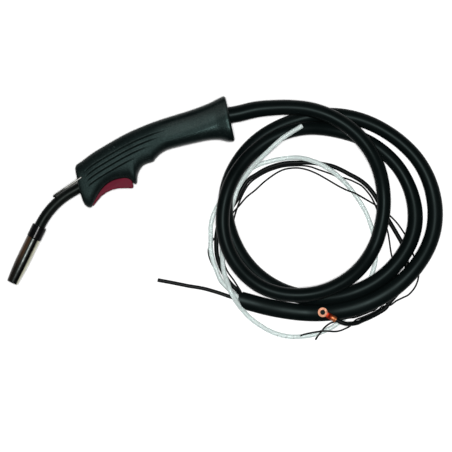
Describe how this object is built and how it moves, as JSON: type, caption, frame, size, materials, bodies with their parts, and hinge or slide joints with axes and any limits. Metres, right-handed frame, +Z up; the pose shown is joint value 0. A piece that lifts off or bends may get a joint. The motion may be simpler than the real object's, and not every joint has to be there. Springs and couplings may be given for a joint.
{
  "type": "mig welding torch",
  "caption": "Hand-held wire-feed welding torch with a swan neck, gas nozzle, trigger and hanging hook, and its coiled cable with bare tails.",
  "frame": {"origin": "centre of the footprint of the torch itself, without its cable, at the surface that it lies on", "axes": "+X along the torch's length from the nozzle to the cable's end of the handle, +Y towards the handle's back, away from the trigger, +Z up out of the surface, across the handle's thickness"},
  "size_m": [0.5513, 0.3102, 0.043],
  "materials": {
    "shell_black": "glass-filled nylon, fine mottled satin",
    "screw_steel": "zinc-plated",
    "sleeve_black": "satin insulating sleeve",
    "copper": "bare copper, slightly oxidised",
    "brass": "machined",
    "insulator_black": "moulded insulating resin",
    "nozzle_metal": "plated copper, warm grey",
    "spring_steel": "drawn wire",
    "trigger_maroon": "moulded, dark red",
    "switch_grey": "moulded",
    "plunger_red": "moulded",
    "lead_black": "thin insulated wire",
    "hose_clear": "translucent greenish plastic",
    "cable_black": "insulated flexible conductor",
    "sheath_black": "smooth extruded rubber sheath",
    "lug_copper": "copper, orange-pink",
    "liner_black": "plastic-covered wire spiral"
  },
  "bodies": {
    "torch": {"handle_upper_shell": "shell_black", "handle_lower_shell": "shell_black", "handle_screws": "screw_steel", "neck_sleeve": "sleeve_black", "neck_tube": "copper", "neck_connector": "brass", "nozzle_insulator": "insulator_black", "nozzle_spring": "spring_steel", "tip_holder": "brass", "contact_tip": "copper", "trigger_pin": "spring_steel", "microswitch_body": "switch_grey", "switch_terminals": "brass", "switch_leads": "lead_black", "inner_gas_hose": "hose_clear", "inner_power_cable": "cable_black", "inner_liner": "liner_black", "cable_clamp": "insulator_black", "cable_lead": "sheath_black", "cable_coil": "sheath_black", "gas_hose": "hose_clear", "power_cable": "cable_black", "ring_terminal": "lug_copper", "wire_liner": "liner_black", "trigger_wire_a": "lead_black", "trigger_wire_b": "lead_black"},
    "trigger": {"trigger": "trigger_maroon"},
    "plunger": {"switch_plunger": "plunger_red"},
    "hook": {"hanging_hook": "spring_steel"},
    "nozzle": {"gas_nozzle": "nozzle_metal"}
  },
  "joints": [
    {"name": "trigger_press", "type": "hinge", "parent": "torch", "child": "trigger", "pos_m": [-0.04183, -0.01413, 0.0205], "axis": [0, 0, 1], "range_deg": [0, 4], "stiffness_Nm_per_rad": 3, "springref_deg": -2.86},
    {"name": "plunger_press", "type": "slide", "parent": "torch", "child": "plunger", "axis": [-0.2164, 0.9763, 0], "range_m": [0, 0.0036]},
    {"name": "hook_swing", "type": "hinge", "parent": "torch", "child": "hook", "pos_m": [-0.04943, 0.01645, 0.0205], "axis": [0, 0, -1], "range_deg": [0, 150]},
    {"name": "nozzle_pull", "type": "slide", "parent": "torch", "child": "nozzle", "axis": [-0.4384, -0.8988, 0], "range_m": [0, 0.06]}
  ],
  "couplings": [
    {"joint": "plunger_press", "follows": "trigger_press", "m_per_rad": 0.0489}
  ]
}
